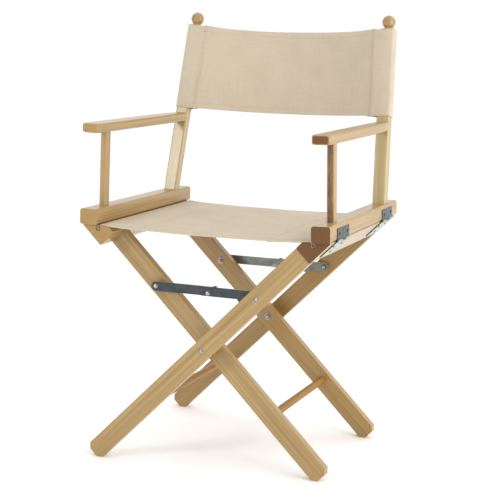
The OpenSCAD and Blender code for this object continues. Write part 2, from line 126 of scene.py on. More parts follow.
class SteelLook(bpy.types.PropertyGroup):
    """Metal of the braces, hinges and bolts."""

    # painted light: one steel in a dark copy for the front brace and a lighter copy for the rear brace, for
    # how each is lit
    front_brace_shaded: colour("Front brace", "Dull steel of the front brace", (0.042, 0.048, 0.052))
    rear_brace_lit: colour("Rear brace", "Dull steel of the rear brace", (0.15, 0.165, 0.155))
    upper_hinge: colour("Upper hinge", "Blue-grey zinc of the upper leaves", (0.06, 0.078, 0.08))
    lower_hinge: colour("Lower hinge", "Pale green-grey zinc of the lower leaves", (0.27, 0.33, 0.29))
    bolt: colour("Bolt", "Bright zinc of bolts, rivets and screws", (0.27, 0.275, 0.265))
    # worn bare metal with painted highlight: it covers every face of the brace links that does not look
    # along Y
    worn_and_highlight: colour("Worn edge", "Bare metal on the edges of the brace links", (0.6, 0.6, 0.57))
    # real dirt in the scratches, and painted dark reflection on the lower leaves' front edges and the bolts'
    # rims
    dirt_and_dark_reflection: colour("Dirt", "Dull film in the scratches and round the bolts", (0.02, 0.022, 0.022))


class CanvasCut(bpy.types.PropertyGroup):
    """Sizes of the canvas seat and back."""

    cloth: length("Cloth", "Thickness of one layer", 0.0008)
    lay: length("Lay", "Distance between the middles of two layers sewn together", 0.0009)
    hem: length("Hem", "Width of the folded hems", 0.013)
    flap: length("Flap", "Distance from the chair's middle to the end of the seat's turned-back flap", 0.128)
    slot: angle("Slot", "Direction of the slot in the seat rail, from the outside round to the middle", 120)
    seat_sag: length("Seat sag", "How far the middle of the seat hangs", 0.003)
    flap_sag: length("Flap sag", "How far the flap's free end hangs below the seat", 0.0013)
    edge_drop: length("Edge drop", "How far the front and rear edges of the seat roll down", 0.0016)
    loop: length("Loop", "Radius of the seat hem's loop round its rod", 0.0038)
    seam: length("Seam", "Distance from a back post's middle to the sleeve's seam", 0.0285)
    bow: length("Bow", "How far the back bows to the rear between its seams", 0.029)
    closing: length("Closing", "How much nearer the back posts come when the chair folds", 0.3492)
    dip: length("Dip", "How far the top edge of the back dips in the middle", 0.0045)
    thread: length("Thread", "Radius of the sewing thread", 0.00032)
    stitch: length("Stitch", "Length of one stitch", 0.0028)
    gap: length("Gap", "Gap between two stitches", 0.0006)
    weave: length("Weave", "Distance from one thread of the weave to the next", 0.00085)


class CanvasLook(bpy.types.PropertyGroup):
    """Colours of the canvas."""

    light: colour("Light", "Pale threads", (0.63, 0.54, 0.42))
    dark: colour("Dark", "Dark threads and the gaps between them", (0.47, 0.395, 0.295))
    sewing: colour("Sewing thread", "Thread of the seams", (0.52, 0.44, 0.33))


class Studio(bpy.types.PropertyGroup):
    """Camera, floor and lights."""

    turn: angle("Turn", "Camera's turn about the chair", 22)
    rise: angle("Rise", "Camera's angle above the horizon", 9.5907)
    roll: angle("Roll", "Camera's roll", 1.0715)
    distance: length("Distance", "Camera's distance from the point it looks at", 2.6259)
    lens: amount("Lens", "Focal length in millimetres on a 36 mm sensor", 96.66)
    look_x: FloatProperty(name="Look at X", description="Point the camera looks at", default=0.0298)
    look_y: FloatProperty(name="Look at Y", description="Point the camera looks at", default=-0.0624)
    look_z: FloatProperty(name="Look at Z", description="Point the camera looks at", default=0.4071)
    floor: colour("Floor", "Pale floor", (0.98, 0.98, 0.98))
    sky: amount("Sky", "Brightness of the white room", 1.0)
    shade: amount("Shade", "Brightness of the room's front half", 0.46)
    above: amount("Above", "Extra brightness of the room overhead", 0.7)
    key: amount("Key", "Power of the soft light on the sitter's left, in watts", 50)
    front: amount("Front", "Power of the small light in front, in watts", 21)


GROUPS = {
    "chair_wood": WoodLook,
    "chair_steel": SteelLook,
    "chair_cut": CanvasCut,
    "chair_canvas": CanvasLook,
    "chair_studio": Studio,
}


def ask(name):
    return getattr(bpy.context.scene, name)


# ---- shader maths


class Field:
    """A shader socket. Arithmetic on it adds the Math nodes that the expression needs."""

    def __init__(self, tree, socket):
        self.tree = tree
        self.socket = socket

    def math(self, operation, *values, clamp=False):
        node = self.tree.nodes.new("ShaderNodeMath")
        node.operation = operation
        node.use_clamp = clamp
        for slot, value in zip(node.inputs, values):
            join(self.tree, slot, value)
        return Field(self.tree, node.outputs[0])

    def __add__(self, other):
        return self.math("ADD", self, other)

    def __sub__(self, other):
        return self.math("SUBTRACT", self, other)

    def __rsub__(self, other):
        return self.math("SUBTRACT", other, self)

    def __mul__(self, other):
        return self.math("MULTIPLY", self, other)

    def __truediv__(self, other):
        return self.math("DIVIDE", self, other)

    def __pow__(self, other):
        return self.math("POWER", self, other)

    __radd__ = __add__
    __rmul__ = __mul__

    def sine(self):
        return self.math("SINE", self)

    def part(self):
        return self.math("FRACT", self)

    def size(self):
        return self.math("ABSOLUTE", self)

    def between(self, low, high):
        """0 below low, 1 above high."""
        return self.math("DIVIDE", self - low, high - low, clamp=True)


def join(tree, slot, value):
    if isinstance(value, Field):
        tree.links.new(value.socket, slot)
    else:
        slot.default_value = value


class Finish:
    """A material in the making."""

    def __init__(self, name):
        self.material = bpy.data.materials.new(name)
        self.material.use_nodes = True
        self.tree = self.material.node_tree
        self.tree.nodes.clear()

    def node(self, kind, settings=None, inputs=None):
        """Adds a node, then its settings, then the values or links of its sockets by name or number."""
        node = self.tree.nodes.new(kind)
        for key, value in (settings or {}).items():
            setattr(node, key, value)
        for key, value in (inputs or {}).items():
            join(self.tree, node.inputs[key], value)
        return node

    def out(self, node, key=0):
        return Field(self.tree, node.outputs[key])

    def split(self, vector):
        node = self.node("ShaderNodeSeparateXYZ", inputs={"Vector": vector})
        return [self.out(node, key) for key in "XYZ"]

    def stretch(self, vector, scale):
        settings = {"operation": "MULTIPLY"}
        return self.out(self.node("ShaderNodeVectorMath", settings, {0: vector, 1: scale}))

    def noise(self, vector, scale, detail=2.0, rough=0.5):
        inputs = {"Vector": vector, "Scale": scale, "Detail": detail, "Roughness": rough}
        return self.out(self.node("ShaderNodeTexNoise", inputs=inputs))

    def mix(self, share, first, second):
        node = self.node("ShaderNodeMix", {"data_type": "RGBA"}, {0: share})
        for slot, value in ((node.inputs[6], first), (node.inputs[7], second)):
            join(self.tree, slot, value if isinstance(value, Field) else (*value, 1))
        return Field(self.tree, node.outputs[2])

    def bump(self, height, depth, strength=1.0):
        inputs = {"Height": height, "Distance": depth, "Strength": strength}
        return self.out(self.node("ShaderNodeBump", inputs=inputs))

    def done(self, **sockets):
        """Feeds the surface shader. Underscores in a name stand for spaces."""
        shader = self.node("ShaderNodeBsdfPrincipled")
        for key, value in sockets.items():
            join(self.tree, shader.inputs[key.replace("_", " ")], value)
        output = self.node("ShaderNodeOutputMaterial")
        self.tree.links.new(shader.outputs[0], output.inputs["Surface"])
        return self.material


# ---- wood


# distances in front of a post's middle at which its heartwood face starts and is full
HEART_FACE = (0.0062, 0.0074)


def wood_finish(name, turn, centre, number, tones, ends, heart, lacquer):
    """Beech with its grain along local Z of a frame that is turned and centred on the piece.

    number gives each piece its own rings and fibres. heart is 1 on a piece whose front is dark heartwood.
    """
    look = ask("chair_wood")
    made = Finish(name)
    where = made.out(made.node("ShaderNodeTexCoord"), "Object")
    faces = made.out(made.node("ShaderNodeTexCoord"), "Normal")
    shift = Vector((0.31, 0.17, 0.53)) * number
    settings = {"vector_type": "TEXTURE"}
    inputs = {"Vector": where, "Location": centre, "Rotation": turn}
    board = made.out(made.node("ShaderNodeMapping", settings, inputs))
    adding = {"operation": "ADD"}
    own = made.out(made.node("ShaderNodeVectorMath", adding, {0: board, 1: shift}))

    # the pith lies this far from the piece's middle, in a direction that turns with its number
    far = 0.075 + 0.02 * (number % 4)
    aside = 1.9 * number
    x, y, _ = made.split(board)
    wander = made.noise(made.stretch(own, (9, 9, 1.6)), 1.0, 2.0) - 0.5
    across = x + far * cos(aside)
    deep = y + far * sin(aside)
    reach = (across * across + deep * deep) ** 0.5 + wander * 0.016
    rings = (reach / look.ring).part()
    late = rings ** 3.0 * (1 - rings.between(0.93, 1.0))
    fibre = made.noise(made.stretch(own, (620, 620, 7)), 1.0, 4.0, 0.6)
    streak = made.noise(made.stretch(own, (130, 130, 2.2)), 1.0, 3.0, 0.55)
    broad = made.noise(made.stretch(own, (14, 14, 3.5)), 1.0, 1.0)
    ray = made.noise(made.stretch(own, (1500, 900, 210)), 1.0, 1.0).between(0.66, 0.78)

    tone = late * 0.36 + (fibre - 0.5) * 0.8 + (streak - 0.5) * 1.8 + (broad - 0.5) * 0.9
    face = made.mix((tone + 0.38).between(0.0, 1.0), *tones)
    knots = made.noise(made.stretch(own, (300, 300, 45)), 1.0, 2.0)
    stained = made.mix((knots * 1.6 + streak - 0.85).between(0.0, 0.8), look.heart_light, look.heart_dark)
    front = (0 - y).between(*HEART_FACE) * heart
    face = made.mix(front, face, stained)
    face = made.mix(ray * 0.4, face, look.fleck)

    grain = Vector((0, 0, 1))
    grain.rotate(Euler(turn))
    settings = {"operation": "DOT_PRODUCT"}
    aimed = made.node("ShaderNodeVectorMath", settings, {0: faces, 1: grain})
    cut = made.out(aimed, "Value").size().between(0.72, 0.95)
    pores = made.noise(own, 1400.0, 1.0)
    end_tone = late * 0.75 + (pores - 0.5) * 0.7 + (broad - 0.5) * 0.5 + 0.2
    end = made.mix(end_tone.between(0.0, 1.0), *ends)
    base = made.mix(cut, face, end)
    height = fibre * 0.5 + late * 0.35 - ray * 0.5 - cut * pores * 0.6
    return made.done(
        Base_Color=base,
        Roughness=0.42 + fibre * 0.16 + cut * 0.35,
        Normal=made.bump(height, 0.00022, 0.6),
        Coat_Weight=lacquer - cut * lacquer,
        Coat_Roughness=0.2,
        Specular_IOR_Level=0.5,
    )


def paint(node, material):
    cad = frame["nodes"][node]
    cad.data.materials.clear()
    cad.data.materials.append(material)
    for face in cad.data.polygons:
        face.material_index = 0


def middle(node):
    low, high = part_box(node)
    return (Vector(low) + Vector(high)) / 2


def wood_pieces():
    """Name of each wooden node, with the turn that lays local Z along its grain."""
    look = ask("chair_wood")
    lay = -pi / 2
    inward = look.arm_lean + look.post_in
    for side, name in SIDES.items():
        lean = -side * look.arm_lean
        frame_name = "outer" if side == RIGHT else "inner"
        for end in ("front", "rear"):
            yield f"{frame_name}_leg_{end}", (0, side * look.leg_angle, 0)
        yield f"{frame_name}_stretcher", (lay, 0, 0)
        yield f"seat_rail_{name}", (lay, side * look.leg_angle, 0)
        yield f"seat_rod_{name}", (lay, 0, 0)
        yield f"arm_rail_{name}", (lay, lean, 0)
        yield f"front_post_{name}", (0, lean, 0)
        yield f"armrest_{name}", (lay, lean, 0)
        yield f"back_post_{name}", (-look.post_lean, -side * inward, 0)
        yield f"finial_{name}", (-look.post_lean, -side * inward, 0)


class CHAIR_OT_wood(bpy.types.Operator):
    """Gives each wooden piece its own grain"""

    bl_idname = "chair.wood"
    bl_label = "Wood"

    def execute(self, context):
        look = ask("chair_wood")
        for number, (node, turn) in enumerate(wood_pieces()):
            tones = (look.light, look.dark)
            # painted shade: the rear legs take a darker tone for the shade under the chair
            if "leg_rear" in node:
                tones = (look.rear_shaded_light, look.rear_shaded_dark)
            # painted sheen: the back posts take a paler tone for the wash of light on their lacquer
            elif "back_post" in node:
                tones = (look.post_sheen_light, look.post_sheen_dark)
            elif "stretcher" in node or "rod" in node:
                tones = (look.dowel_light, look.dowel_dark)
            ends = (look.pale_end_light, look.pale_end_dark)
            if node.endswith("right"):
                ends = (look.end_light, look.end_dark)
            heart = 1.0 if node == "front_post_right" else 0.0
            lacquer = look.dowel_lacquer if "stretcher" in node else look.lacquer
            name, centre = f"beech_{node}", middle(node)
            paint(node, wood_finish(name, turn, centre, number + 1, tones, ends, heart, lacquer))
        return {"FINISHED"}


# ---- steel


def steel_finish(name, tone, streaks, rough, edge=None, flat=False):
    """Rolled or zinc-coated steel. streaks sets how far the rolling marks run along each axis.

    edge is painted on the faces that look along Y, or with flat on all the other faces: painted highlight
    with wear on the braces' edges, painted dark reflection on the lower leaves' front edges and the bolts'
    rims.
    """
    look = ask("chair_steel")
    made = Finish(name)
    where = made.out(made.node("ShaderNodeTexCoord"), "Object")
    rolled = made.noise(made.stretch(where, streaks), 1.0, 3.0, 0.6)
    cloud = made.noise(where, 70.0, 3.0, 0.6)
    spots = made.noise(where, 420.0, 2.0, 0.7).between(0.6, 0.75)
    film = ((rolled - 0.5) * 1.2 + (cloud - 0.5) * 1.6 + spots * 0.35 + 0.3).between(0.0, 1.0)
    bright = [min(1.0, 1.9 * share) for share in tone]
    rubbed = made.mix(film, bright, tone)
    base = made.mix(spots * 0.4, rubbed, look.dirt_and_dark_reflection)
    # painted light: the edge colour follows which way a face looks
    if edge is not None:
        faces = made.out(made.node("ShaderNodeTexCoord"), "Normal")
        along = made.split(faces)[1].size().between(0.6, 0.9)
        base = made.mix(1 - along if flat else along, base, edge)
    return made.done(
        Base_Color=base,
        Metallic=0.92,
        Roughness=rough + film * 0.18,
        Normal=made.bump(rolled * 0.6 + spots * 0.4, 0.00012, 0.5),
    )


class CHAIR_OT_steel(bpy.types.Operator):
    """Gives the braces, hinges and bolts their metal"""

    bl_idname = "chair.steel"
    bl_label = "Steel"

    def execute(self, context):
        look = ask("chair_steel")
        along_x, along_y = (25, 900, 700), (800, 20, 800)
        finishes = {
            # painted highlight, with wear, on the links' edges
            "front_link": steel_finish(
                "steel_front_brace", look.front_brace_shaded, along_x, 0.34, look.worn_and_highlight, flat=True
            ),
            "rear_link": steel_finish(
                "steel_rear_brace", look.rear_brace_lit, along_x, 0.36, look.worn_and_highlight, flat=True
            ),
            "upper_hinge_leaves": steel_finish("zinc_upper_hinge", look.upper_hinge, along_y, 0.3),
            # painted dark reflection on the leaves' faces that look along Y
            "lower_hinge_leaves": steel_finish(
                "zinc_lower_hinge", look.lower_hinge, along_y, 0.3, look.dirt_and_dark_reflection
            ),
            "hinge_pins": steel_finish("steel_pins", look.rear_brace_lit, along_y, 0.3),
            "leg_pivot_spacers": steel_finish("steel_spacers", look.rear_brace_lit, along_y, 0.4),
            # painted dark reflection on the bolts' rims
            "": steel_finish("zinc_bolts", look.bolt, (500, 500, 500), 0.22, look.dirt_and_dark_reflection, flat=True),
        }
        metal = ("link", "rivet", "hinge", "bolts", "bushes", "spacers")
        for node in frame["nodes"]:
            if any(word in node for word in metal):
                paint(node, next(made for start, made in finishes.items() if node.startswith(start)))
        return {"FINISHED"}


# ---- cloth


def cloth_finish():
    """Plain-woven canvas. It reads the cut's own distances, in metres, from the UV map."""
    look, cut = ask("chair_canvas"), ask("chair_cut")
    made = Finish("woven_canvas")
    laid = made.out(made.node("ShaderNodeUVMap", {"uv_map": "cut"}))
    uneven = made.noise(laid, 260.0, 2.0) - 0.5
    u, v, _ = made.split(laid)
    turn = pi / cut.weave
    over = ((u + uneven * 0.00035) * turn).sine() * ((v + uneven * 0.00035) * turn).sine()
    warp = made.noise(made.stretch(laid, (900, 24, 1)), 1.0, 3.0, 0.65)
    weft = made.noise(made.stretch(laid, (24, 900, 1)), 1.0, 3.0, 0.65)
    cloud = made.noise(laid, 16.0, 3.0, 0.5)
    nub = made.noise(made.stretch(laid, (240, 700, 1)), 1.0, 1.0).between(0.69, 0.8)
    tone = 0.42 - over * 0.16 + (warp - 0.5) * 0.9 + (weft - 0.5) * 0.9 + (cloud - 0.5) * 0.7
    base = made.mix((tone + nub * 0.35).between(0.0, 1.0), look.light, look.dark)
    height = over * 0.5 + (warp + weft) * 0.6 + nub
    return made.done(
        Base_Color=base,
        Roughness=0.86 + (cloud - 0.5) * 0.1,
        Normal=made.bump(height, 0.0003, 0.55),
        Sheen_Weight=0.08,
        Sheen_Roughness=0.45,
        Specular_IOR_Level=0.15,
    )


def thread_finish():
    made = Finish("sewing_thread")
    where = made.out(made.node("ShaderNodeTexCoord"), "Object")
    twist = made.noise(where, 2500.0, 1.0)
    tone = ask("chair_canvas").sewing
    shade = [0.8 * share for share in tone]
    return made.done(
        Base_Color=made.mix(twist, shade, tone), Roughness=0.75 + twist * 0.1, Sheen_Weight=0.2
    )


def finish_of(name, make):
    """The named material, made the first time it is asked for."""
    return bpy.data.materials.get(name) or make()


def canvas():
    return finish_of("woven_canvas", cloth_finish)


def arc(centre, radius, start, end, steps):
    """Points on an arc, with its angles in degrees."""
    turns = np.radians(np.linspace(start, end, steps))
    return np.array(centre) + radius * np.stack([np.cos(turns), np.sin(turns)], axis=1)


def travelled(points):
    steps = np.linalg.norm(np.diff(points, axis=0), axis=1)
    return np.concatenate([[0.0], np.cumsum(steps)])


def eased(points, rounds=2):
    """Cuts the corners of a line, and keeps its ends."""
    for _ in range(rounds):
        near = 0.75 * points[:-1] + 0.25 * points[1:]
        far = 0.25 * points[:-1] + 0.75 * points[1:]
        inner = np.stack([near, far], axis=1).reshape(-1, points.shape[1])
        points = np.concatenate([points[:1], inner, points[-1:]])
    return points


def filled(points, longest):
    """Adds points, so that no step of the line is longer than longest."""
    out = [points[0]]
    for a, b in zip(points[:-1], points[1:]):
        count = max(1, int(np.ceil(np.linalg.norm(b - a) / longest)))
        out.extend(a + (b - a) * (k + 1) / count for k in range(count))
    return np.array(out)


def hemmed(low, high, cut, steps):
    """A strip's cross-section from hem to hem: distance along the strip, and depth below its face."""
    r = cut.lay / 2
    bend = arc((low + r, -r), r, 270, 90, steps=6)
    near = np.concatenate([[[low + cut.hem, -cut.lay], [low + cut.hem / 2, -cut.lay]], bend])
    far = near[::-1] * (-1, 1) + (low + high, 0)
    face = np.linspace(low + r, high - r, steps + 1)[1:-1]
    return np.concatenate([near, np.stack([face, np.zeros(steps - 1)], axis=1), far])


def line_normals(points):
    """Unit normals on the left of a plane line, looking along it."""
    ahead = np.gradient(points, axis=0)
    ahead /= np.linalg.norm(ahead, axis=1, keepdims=True)
    return np.stack([-ahead[:, 1], ahead[:, 0]], axis=1)


def grid_normals(grid):
    normals = np.cross(np.gradient(grid, axis=0), np.gradient(grid, axis=1))
    return normals / np.maximum(np.linalg.norm(normals, axis=2, keepdims=True), 1e-12)


def cloth_piece(name, grid, across, along, thickness):
    """A closed sheet round a grid of points. across and along are the cut's distances."""
    rows, columns = grid.shape[:2]
    normals = grid_normals(grid) * thickness / 2
    verts = np.concatenate([(grid + normals).reshape(-1, 3), (grid - normals).reshape(-1, 3)])
    ids = np.arange(rows * columns).reshape(rows, columns)
    below = ids + rows * columns
    corners = [ids[:-1, :-1], ids[1:, :-1], ids[1:, 1:], ids[:-1, 1:]]
    top = np.stack([c.ravel() for c in corners], axis=1)
    faces = [top, (top + rows * columns)[:, ::-1]]
    rims = (
        (ids[0], below[0]),
        (ids[-1][::-1], below[-1][::-1]),
        (ids[::-1, 0], below[::-1, 0]),
        (ids[:, -1], below[:, -1]),
    )
    for a, b in rims:
        faces.append(np.stack([a[:-1], a[1:], b[1:], b[:-1]], axis=1))
    faces = np.concatenate(faces)
    mesh = bpy.data.meshes.new(name)
    mesh.from_pydata(verts.tolist(), [], faces.tolist())
    layer = mesh.uv_layers.new(name="cut")
    spots = np.stack(np.meshgrid(across, along, indexing="ij"), axis=2).reshape(-1, 2)
    spots = np.concatenate([spots, spots])
    layer.data.foreach_set("uv", spots[faces.ravel()].astype(np.float32).ravel())
    mesh.polygons.foreach_set("use_smooth", np.ones(len(faces), bool))
    mesh.materials.append(canvas())
    mesh.validate()
    piece = bpy.data.objects.new(name, mesh)
    bpy.context.scene.collection.objects.link(piece)
    return piece


# ---- stitches


# from the edge of the cloth to a row of stitches, and from a hem's inner edge to its row
SEWN, HEM_SEAM = 0.003, 0.002


def thread_lift(cut):
    """Height of a row of stitches over the middle of its layer."""
    return cut.cloth / 2 + 0.0001


def new_socket(tree, name, kind, default=None):
    socket = tree.interface.new_socket(name=name, in_out="INPUT", socket_type=kind)
    if default is not None:
        socket.default_value = default
    return socket.identifier


def stitch_tree():
    """Geometry Nodes that sew small stitches along every line of a mesh."""
    cut = ask("chair_cut")
    tree = bpy.data.node_groups.new("sewn_rows", "GeometryNodeTree")
    tree.interface.new_socket(name="Rows", in_out="INPUT", socket_type="NodeSocketGeometry")
    new_socket(tree, "Stitch Length", "NodeSocketFloat", cut.stitch)
    new_socket(tree, "Gap", "NodeSocketFloat", cut.gap)
    new_socket(tree, "Thread Radius", "NodeSocketFloat", cut.thread)
    tree["thread_socket"] = new_socket(tree, "Thread", "NodeSocketMaterial")
    tree.interface.new_socket(name="Sewn", in_out="OUTPUT", socket_type="NodeSocketGeometry")

    def node(kind, settings=None, links=None):
        made = tree.nodes.new(kind)
        for key, value in (settings or {}).items():
            setattr(made, key, value)
        for key, value in (links or {}).items():
            if isinstance(value, bpy.types.NodeSocket):
                tree.links.new(value, made.inputs[key])
            else:
                made.inputs[key].default_value = value
        return made

    given = node("NodeGroupInput").outputs
    step = node("ShaderNodeMath", {"operation": "ADD"}, {0: given["Stitch Length"], 1: given["Gap"]})
    lines = node("GeometryNodeMeshToCurve", None, {"Mesh": given["Rows"]})
    spaced = node(
        "GeometryNodeResampleCurve",
        {"mode": "LENGTH"},
        {"Curve": lines.outputs[0], "Length": step.outputs[0]},
    )
    along = node("GeometryNodeInputTangent")
    aimed = node("FunctionNodeAlignRotationToVector", {"axis": "Z"}, {"Vector": along.outputs[0]})
    half = node("ShaderNodeMath", {"operation": "MULTIPLY"}, {0: given["Stitch Length"], 1: 0.5})
    size = node(
        "ShaderNodeCombineXYZ",
        None,
        {"X": given["Thread Radius"], "Y": given["Thread Radius"], "Z": half.outputs[0]},
    )
    bead = node("GeometryNodeMeshUVSphere", None, {"Segments": 6, "Rings": 5, "Radius": 1.0})
    sewn = node(
        "GeometryNodeInstanceOnPoints",
        None,
        {
            "Points": spaced.outputs[0],
            "Instance": bead.outputs[0],
            "Rotation": aimed.outputs[0],
            "Scale": size.outputs[0],
        },
    )
    real = node("GeometryNodeRealizeInstances", None, {"Geometry": sewn.outputs[0]})
    smooth = node("GeometryNodeSetShadeSmooth", None, {"Geometry": real.outputs[0]})
    coloured = node(
        "GeometryNodeSetMaterial",
        None,
        {"Geometry": smooth.outputs[0], "Material": given["Thread"]},
    )
    node("NodeGroupOutput", None, {0: coloured.outputs[0]})
    return tree


def sew(name, rows):
    """Stitches along each row of points, as one plain mesh."""
    tree = bpy.data.node_groups.get("sewn_rows") or stitch_tree()
    verts, edges = [], []
    for row in rows:
        start = len(verts)
        verts.extend(tuple(point) for point in row)
        edges.extend((start + k, start + k + 1) for k in range(len(row) - 1))
    mesh = bpy.data.meshes.new(name)
    mesh.from_pydata(verts, edges, [])
    piece = bpy.data.objects.new(name, mesh)
    bpy.context.scene.collection.objects.link(piece)
    sewing = piece.modifiers.new("sewing", "NODES")
    sewing.node_group = tree
    sewing[tree["thread_socket"]] = finish_of("sewing_thread", thread_finish)
    bpy.context.view_layer.update()
    ready = piece.evaluated_get(bpy.context.evaluated_depsgraph_get())
    piece.data = bpy.data.meshes.new_from_object(ready)
    piece.modifiers.clear()
    return piece


# ---- seat


# share of a hem's depth that is left where it is pressed flat round a rod
PRESSED = 0.3
# from the slot's mouth, and from the flap's end, to the seams that close a rod's pocket
POCKET_SEAM, FLAP_SEAM = 0.009, 0.004
# heights of the seat's puckers beside the rods, of its soft waves, and of the flap's ripples
PUCKER, WAVE, RIPPLE = 0.0007, 0.0005, 0.0007


def seat_line(cut):
    """The seat's line in X and Z from the left flap, over both rods, to the right flap."""
    # distances in which the panel and the flap bend down into the slot
    ease, flap_ease = 0.003, 0.004
    low, high = (Vector(corner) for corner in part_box("seat_canvas"))
    rod = middle("seat_rod_right")
    top = high.z - 0.75 * cut.cloth
    ahead = np.array((cos(cut.slot), sin(cut.slot)))
    beside = np.array((sin(cut.slot), -cos(cut.slot))) * cut.lay / 2
    centre = np.array((rod.x, rod.z))
    upper = centre + beside
    lower = centre - beside
    to_top = (top - upper[1]) / ahead[1]
    to_flap = (top - cut.lay - lower[1]) / ahead[1]
    mouth, under = upper + ahead * to_top, lower + ahead * to_flap
    panel = np.array([(0, top), (mouth[0] - 2 * ease, top)])
    neck = ahead * 0.0055
    bend = np.array([(mouth[0] - ease, top), mouth, upper + neck])
    # the loop stays open by this angle on each side of the slot
    facing, opening = degrees(cut.slot), 68
    loop = arc(centre, cut.loop, facing - opening, facing + opening - 360, steps=15)
    back = np.array([lower + neck, under, (under[0] - flap_ease, top - cut.lay)])
    flap = np.array([(under[0] - 2 * flap_ease, top - cut.lay), (cut.flap, top - cut.lay)])
    half = np.concatenate([panel, bend, loop, back, flap])
    half = filled(eased(half), longest=0.007)
    return np.concatenate([half[::-1] * (-1, 1), half[1:]]), mouth[0], low.y, high.y


def seat_drop(cut, x, y, span, low, high, under):
    """How far the canvas hangs at x and y. under is 1 on the turned-back flap."""
    from_rod = span - np.abs(x)
    from_edge = np.minimum(y - low, high - y)
    inside = np.clip(1 - (x / span) ** 2, 0, 1)
    edge = np.clip(1 - from_edge / 0.03, 0, 1)
    sag = cut.seat_sag * inside * (1 + 0.5 * edge**2)
    roll = cut.edge_drop * edge**2 * np.clip(from_rod / 0.02, 0, 1)
    near = np.exp(-from_rod.clip(0) / 0.028) * np.clip(from_rod / 0.01, 0, 1)
    pucker = PUCKER * near * np.sin(y * 190 + 1.4 * np.sin(y * 61) + 3 * np.sign(x))
    soft = WAVE * inside * np.sin(y * 41 + x * 13) * np.sin(x * 29 + 0.7)
    loose = np.clip(from_rod / (span - cut.flap), 0, 1) ** 2
    ripple = RIPPLE * np.sin(y * 37 + 2 * np.sign(x)) * np.sin(y * 16 + 0.8)
    return sag + roll + pucker + soft + under * loose * (cut.flap_sag + ripple)


class CHAIR_OT_seat(bpy.types.Operator):
    """Makes the canvas seat with its loops, flaps, hems and stitches"""

    bl_idname = "chair.seat"
    bl_label = "Seat"

    def execute(self, context):
        cut = ask("chair_cut")
        line, span, low, high = seat_line(cut)
        across = travelled(line)
        profile = hemmed(low, high, cut, steps=54)
        along = travelled(profile)
        normals = line_normals(line)
        order = np.arange(len(line))
        turned = (order < np.argmin(line[:, 0])) | (order > np.argmax(line[:, 0]))
        open_hem = (np.abs(line[:, 0]) < span - 0.004) & ~turned
        hem_share = np.where(open_hem, 1.0, PRESSED)
        x, y = np.meshgrid(line[:, 0], profile[:, 0], indexing="ij")
        depth = hem_share[:, None] * profile[None, :, 1]
        z = line[:, 1][:, None] + normals[:, 1][:, None] * depth
        z = z - seat_drop(cut, x, y, span, low, high, turned[:, None].astype(float))
        grid = np.stack([x + normals[:, 0][:, None] * depth, y, z], axis=2)
        seat = cloth_piece("seat_sheet", grid, across, along, cut.cloth)
        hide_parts("seat_canvas")

        top = line[:, 1].max() + thread_lift(cut)

        def row(xs, ys):
            xs, ys = np.broadcast_arrays(xs, ys)
            drop = seat_drop(cut, xs, ys, span, low, high, 0.0)
            return np.stack([xs, ys, top - drop], axis=1)

        depthwise = np.linspace(low + SEWN, high - SEWN, 140)
        widthwise = np.linspace(SEWN - span, span - SEWN, 140)
        pockets = (span - POCKET_SEAM, cut.flap + FLAP_SEAM)
        rows = [row(side * x_at, depthwise) for side in SIDES for x_at in pockets]
        hems = (low + cut.hem - HEM_SEAM, high - cut.hem + HEM_SEAM)
        rows.extend(row(widthwise, y_at) for y_at in hems)
        stitches = sew("seat_stitches", rows)

        rod = middle("seat_rod_right")
        for piece in (seat, stitches):
            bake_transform(piece)
        return {"FINISHED"}


# ---- back


# middle of the right back post's foot, before its arm leans
POST_FOOT = Vector((0.2335, 0.13171, 0.4915))
# half of a back post's width and depth, and the radius of its edges
POST_HALF, POST_EDGE = (0.0135, 0.0105), 0.003
# heights up the posts of the back's lower and upper edges
BACK_LOW, BACK_HIGH = 0.176, 0.354
# from the posts' middle plane forward to the sleeves' seams, and to the ends of the panel
SEAM_FRONT, PANEL_FRONT = 0.0089, 0.0072
# how steeply a sleeve's front layer leaves its seam
FRONT_SLOPE = 0.21
# width that is turned in at a sleeve's seam
ALLOWANCE = 0.008


def joint_place(name):
    return Vector(next(j["pos_m"] for j in frame["joints"] if j["name"] == name))


def post_frame():
    """From the right back post's own frame, with Z up the post from the arm rail, to the chair's."""
    look = ask("chair_wood")
    pin = joint_place("right_arm_hinge")
    leaned = Matrix.Translation(pin) @ Matrix.Rotation(-look.arm_lean, 4, "Y")
    post = Matrix.Rotation(-look.post_in, 4, "Y") @ Matrix.Rotation(-look.post_lean, 4, "X")
    return leaned @ Matrix.Translation(POST_FOOT - pin) @ post


def moved(points, matrix):
    turned = np.array(matrix)
    return points @ turned[:3, :3].T + turned[:3, 3]


def sleeve_line(cut):
    """A sleeve in plan round the right post: its turned edge on the seam, the front, the post, the rear."""
    # from a post's faces to the middle of the cloth
    clear = 0.00155
    wide, deep = POST_HALF[0] + clear, POST_HALF[1] + clear
    r = POST_EDGE + clear
    corner = np.array((2.5 * r - wide, -deep))
    seam = np.array((-cut.seam, -SEAM_FRONT))
    ahead = (corner - seam) / np.linalg.norm(corner - seam)
    behind = np.array((-ahead[1], ahead[0]))
    half = cut.lay / 2
    edge = ahead * ALLOWANCE
    turned = [seam + edge + behind * cut.lay, seam + edge / 2 + behind * cut.lay]
    facing = np.degrees(np.arctan2(ahead[1], ahead[0]))
    fold = arc(seam + ahead * half + behind * half, half, facing + 90, facing + 270, steps=7)
    front = [seam + edge / 2, seam + edge, corner]
    outer = arc((wide - r, r - deep), r, -90, 0, steps=6)
    rear = arc((wide - r, deep - r), r, 0, 90, steps=6)
    inner = arc((r - wide, deep - r), r, 90, 150, steps=5)
    # the rear layer comes forward to the seam and ends behind the panel
    tail = [(-0.0262, -0.0052), (-0.0285, -0.0054), (-0.0345, -0.0043)]
    line = np.concatenate([turned, fold, front, outer, rear, inner, tail])
    return filled(eased(line, rounds=1), longest=0.004)


